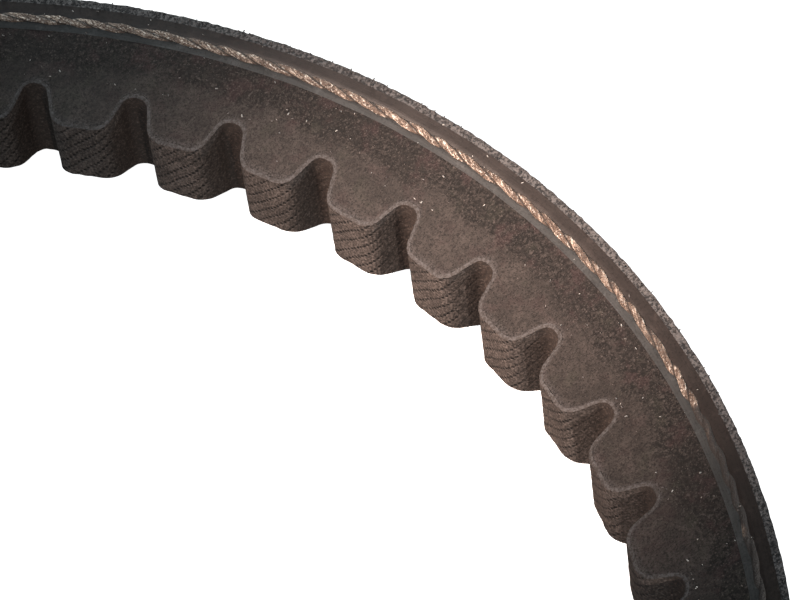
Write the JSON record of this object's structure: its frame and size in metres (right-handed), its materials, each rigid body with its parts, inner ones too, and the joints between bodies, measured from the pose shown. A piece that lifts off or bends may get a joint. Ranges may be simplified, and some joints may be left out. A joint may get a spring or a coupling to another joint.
{
  "type": "cogged v-belt",
  "caption": "Endless raw-edge V-belt with moulded cogs on its inner face, twill-faced notches, a fabric back and a twisted tensile cord showing at its cut flanks.",
  "frame": {"origin": "centre of the ring, halfway across the belt's width", "axes": "+Z along the ring's axis, out of one flank; +X through the middle of a notch"},
  "size_m": [0.176, 0.176, 0.017],
  "materials": {
    "back_fabric": "rubbered cloth, rough, frayed at its cut edges",
    "overcord_rubber": "smooth cut rubber",
    "tensile_cord": "dipped twisted cord, cut open along the flank",
    "adhesion_rubber": "smooth cut rubber, bluish grey",
    "compression_rubber": "ground rubber with short fibres, matt",
    "cog_fabric": "rubber-soaked twill, matt"
  },
  "bodies": {
    "root": {"back_fabric": "back_fabric", "overcord_rubber": "overcord_rubber", "tensile_cord": "tensile_cord", "adhesion_rubber": "adhesion_rubber", "compression_rubber": "compression_rubber", "cog_fabric": "cog_fabric"}
  },
  "joints": []
}
